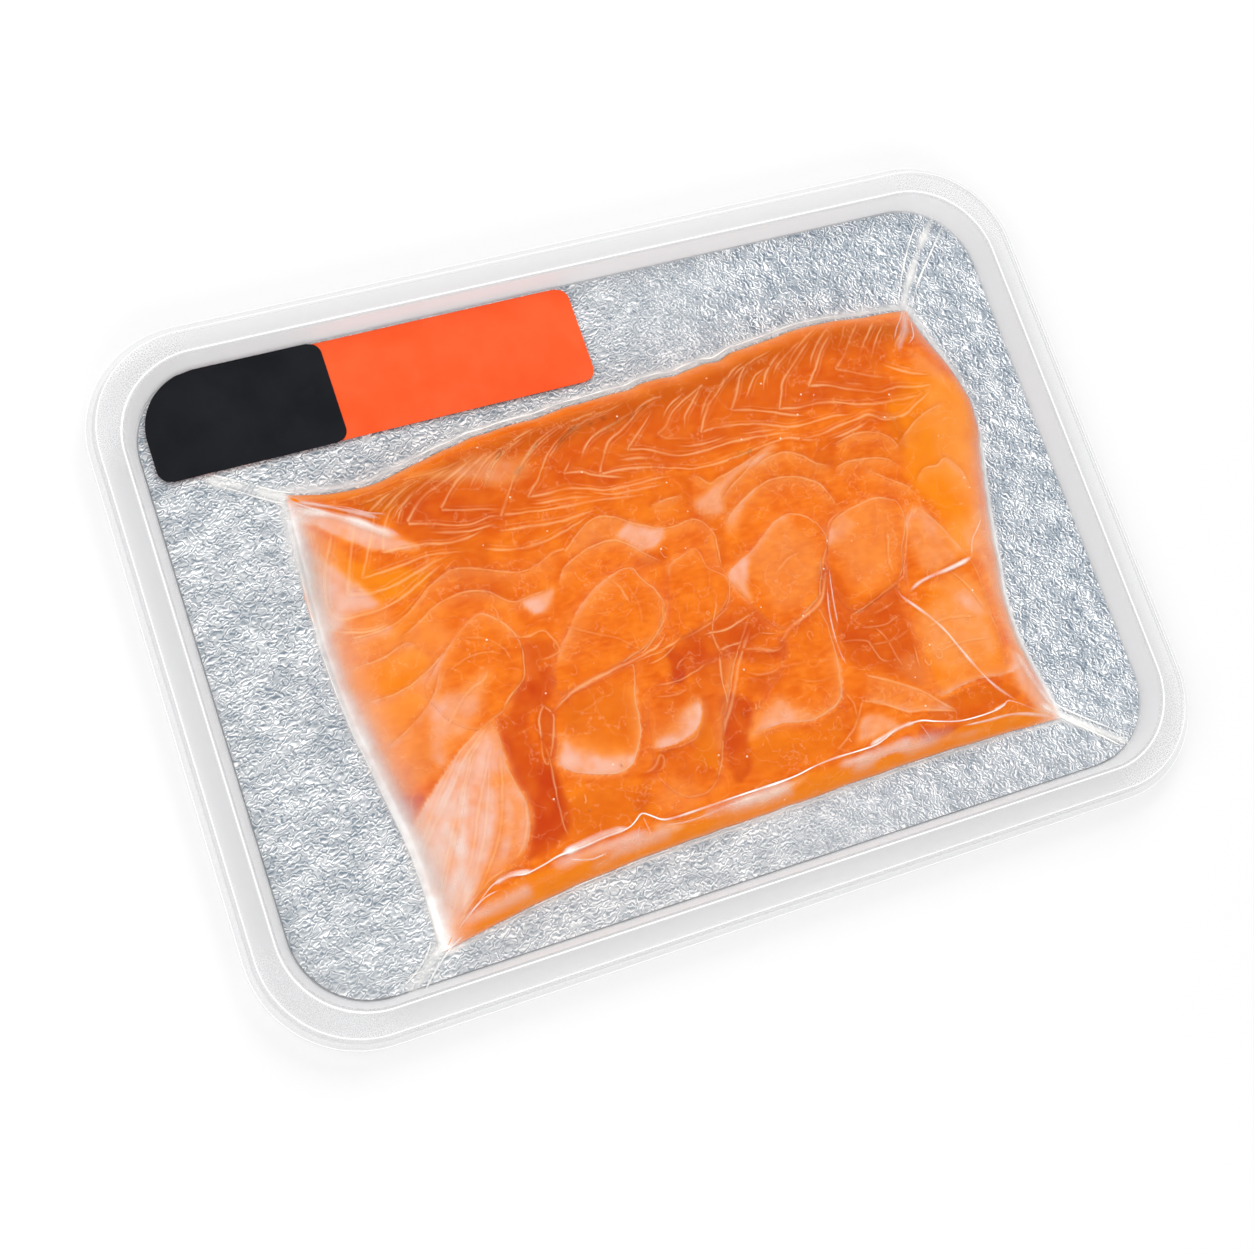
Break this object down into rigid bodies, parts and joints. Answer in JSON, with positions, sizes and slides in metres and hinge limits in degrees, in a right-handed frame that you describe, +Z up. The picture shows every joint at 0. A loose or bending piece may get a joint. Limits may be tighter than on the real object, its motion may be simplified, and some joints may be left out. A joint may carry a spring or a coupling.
{
  "type": "pack of sliced smoked salmon",
  "caption": "Sliced smoked salmon fanned on a foil-faced board in a shallow clear tray, sealed under tight clear skin film, with a blank orange and black label",
  "frame": {"origin": "centre of the bounding box at the surface the tray rests on", "axes": "+X along the long side towards the end without the label, +Y across towards the side with the label, +Z up"},
  "size_m": [0.2552, 0.1826, 0.0125],
  "materials": {
    "clear_tray": "clear thermoformed plastic, glossy",
    "foil": "finely crinkled silver foil laminated on board",
    "salmon": "moist orange cold-smoked salmon with pale herringbone fat lines",
    "salmon_slice": "moist translucent orange-pink salmon slice",
    "clear_film": "clear skin film, high gloss, tight over the fish",
    "orange_label": "satin printed label, bare",
    "black_label": "satin printed label, bare"
  },
  "bodies": {
    "root": {"tray": "clear_tray", "foil_board": "foil", "salmon_back": "salmon", "salmon_slice_1": "salmon_slice", "salmon_slice_2": "salmon_slice", "salmon_slice_3": "salmon_slice", "salmon_slice_4": "salmon_slice", "salmon_slice_5": "salmon_slice", "salmon_slice_6": "salmon_slice", "salmon_slice_7": "salmon_slice", "salmon_slice_8": "salmon_slice", "salmon_slice_9": "salmon_slice", "salmon_slice_10": "salmon_slice", "skin_film": "clear_film", "label_strip": "orange_label", "label_panel": "black_label"}
  },
  "joints": []
}
